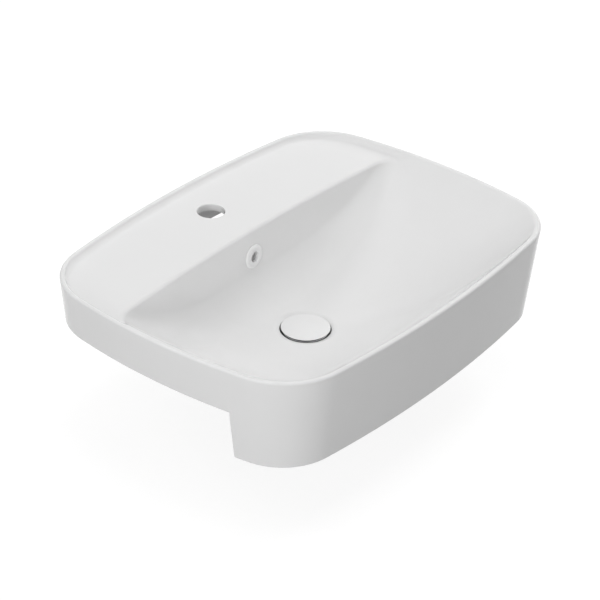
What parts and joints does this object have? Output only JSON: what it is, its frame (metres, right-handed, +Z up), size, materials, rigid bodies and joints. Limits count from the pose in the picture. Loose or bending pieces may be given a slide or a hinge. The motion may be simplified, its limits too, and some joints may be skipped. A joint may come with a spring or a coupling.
{
  "type": "semi recessed basin",
  "caption": "Semi recessed ceramic wash basin with a raised rim, rear tap deck, sloping bowl, front apron, overflow trim and a push-operated waste.",
  "frame": {"origin": "on the counter seat, in the middle of the rear band of the skirt, so Z = 0 is the top of the counter", "axes": "+X along the basin's width to the right, the front apron faces -Y, +Z is up"},
  "size_m": [0.5594, 0.4244, 0.2066],
  "materials": {
    "china": "gloss white glaze",
    "white_trim": "gloss white moulding",
    "cap_glaze": "gloss white glaze",
    "seal_rubber": "smooth black rubber",
    "acetal": "satin off-white moulding",
    "spring_steel": "drawn stainless wire",
    "brass_turned": "turned brass",
    "gasket_rubber": "matt black rubber",
    "polished": "polished chrome plate",
    "washer_plastic": "white polythene"
  },
  "bodies": {
    "basin": {"basin_body": "china", "overflow_ring": "white_trim", "plug_spring": "spring_steel", "cartridge_housing": "acetal", "cartridge_lid": "acetal", "cartridge_locknut": "brass_turned", "flange_gasket": "gasket_rubber", "waste_flange": "polished", "waste_tail": "brass_turned", "lower_gasket": "gasket_rubber", "friction_washer": "washer_plastic", "backnut": "brass_turned"},
    "plug": {"waste_cap": "cap_glaze", "cap_seal": "seal_rubber", "plunger": "brass_turned"},
    "cam": {"cam_ring": "acetal"}
  },
  "joints": [
    {"name": "plug_lift", "type": "slide", "parent": "basin", "child": "plug", "axis": [0, 0, 1], "range_m": [0, 0.009], "deforming": ["plug_spring"]},
    {"name": "cam_index", "type": "hinge", "parent": "plug", "child": "cam", "pos_m": [0, -0.204, -0.086], "axis": [0, 0, 1], "range_deg": [0, 45]}
  ],
  "couplings": [
    {"joint": "cam_index", "follows": "plug_lift", "rad_per_m": 87.266}
  ]
}
